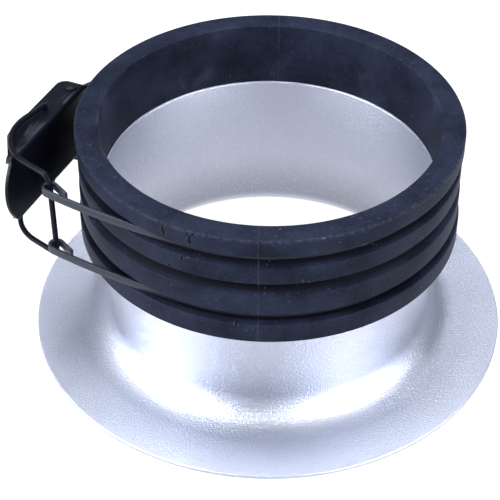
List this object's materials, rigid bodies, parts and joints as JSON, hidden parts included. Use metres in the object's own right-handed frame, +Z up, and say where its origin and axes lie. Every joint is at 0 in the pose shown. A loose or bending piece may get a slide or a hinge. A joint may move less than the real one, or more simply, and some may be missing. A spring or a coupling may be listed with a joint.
{
  "type": "lamp head adapter ring",
  "caption": "Clamp-on adapter ring for a studio flash head: a flanged spun aluminium neck, a ribbed rubber collar and a bail latch on two steel straps.",
  "frame": {"origin": "on the ring's axis at the underside of the flange, which the flange rests on", "axes": "+Z up the neck, out of the collar's socket; -X on the lever's side; the bail's rod is in front, at -Y"},
  "size_m": [0.1463, 0.144, 0.0723],
  "materials": {
    "spun_aluminium": "fine blasted, satin",
    "black_rubber": "matte moulded rubber",
    "black_steel": "satin black paint"
  },
  "bodies": {
    "base": {"flange_ring": "spun_aluminium", "rubber_collar": "black_rubber"},
    "clamp": {"strap_upper_rear": "black_steel", "strap_lower_rear": "black_steel"},
    "lever": {"lever": "black_steel", "pivot_pin": "black_steel", "pivot_spacer": "black_steel", "bail_end_upper": "black_steel", "bail_end_lower": "black_steel"},
    "strap_ends": {"strap_upper_hook": "black_steel", "strap_lower_hook": "black_steel"},
    "bail": {"bail_wire": "black_steel"}
  },
  "joints": [
    {"name": "clamp_turn", "type": "hinge", "parent": "base", "child": "clamp", "pos_m": [0, 0, 0.056], "axis": [0, 0, 1], "continuous": true},
    {"name": "lever_swing", "type": "hinge", "parent": "clamp", "child": "lever", "pos_m": [-0.059, 0.0189, 0.056], "axis": [0, 0, 1], "range_deg": [-185, 0]},
    {"name": "strap_draw", "type": "hinge", "parent": "clamp", "child": "strap_ends", "pos_m": [0, 0, 0.056], "axis": [0, 0, 1], "range_deg": [-21.75, 0]},
    {"name": "bail_swing", "type": "hinge", "parent": "strap_ends", "child": "bail", "pos_m": [-0.0599, -0.0262, 0.0564], "axis": [0, 0, 1], "range_deg": [-10.41, 0]}
  ],
  "couplings": [
    {"joint": "strap_draw", "follows": "lever_swing", "ratio": 0.11756},
    {"joint": "bail_swing", "follows": "lever_swing", "ratio": 0.056256}
  ]
}
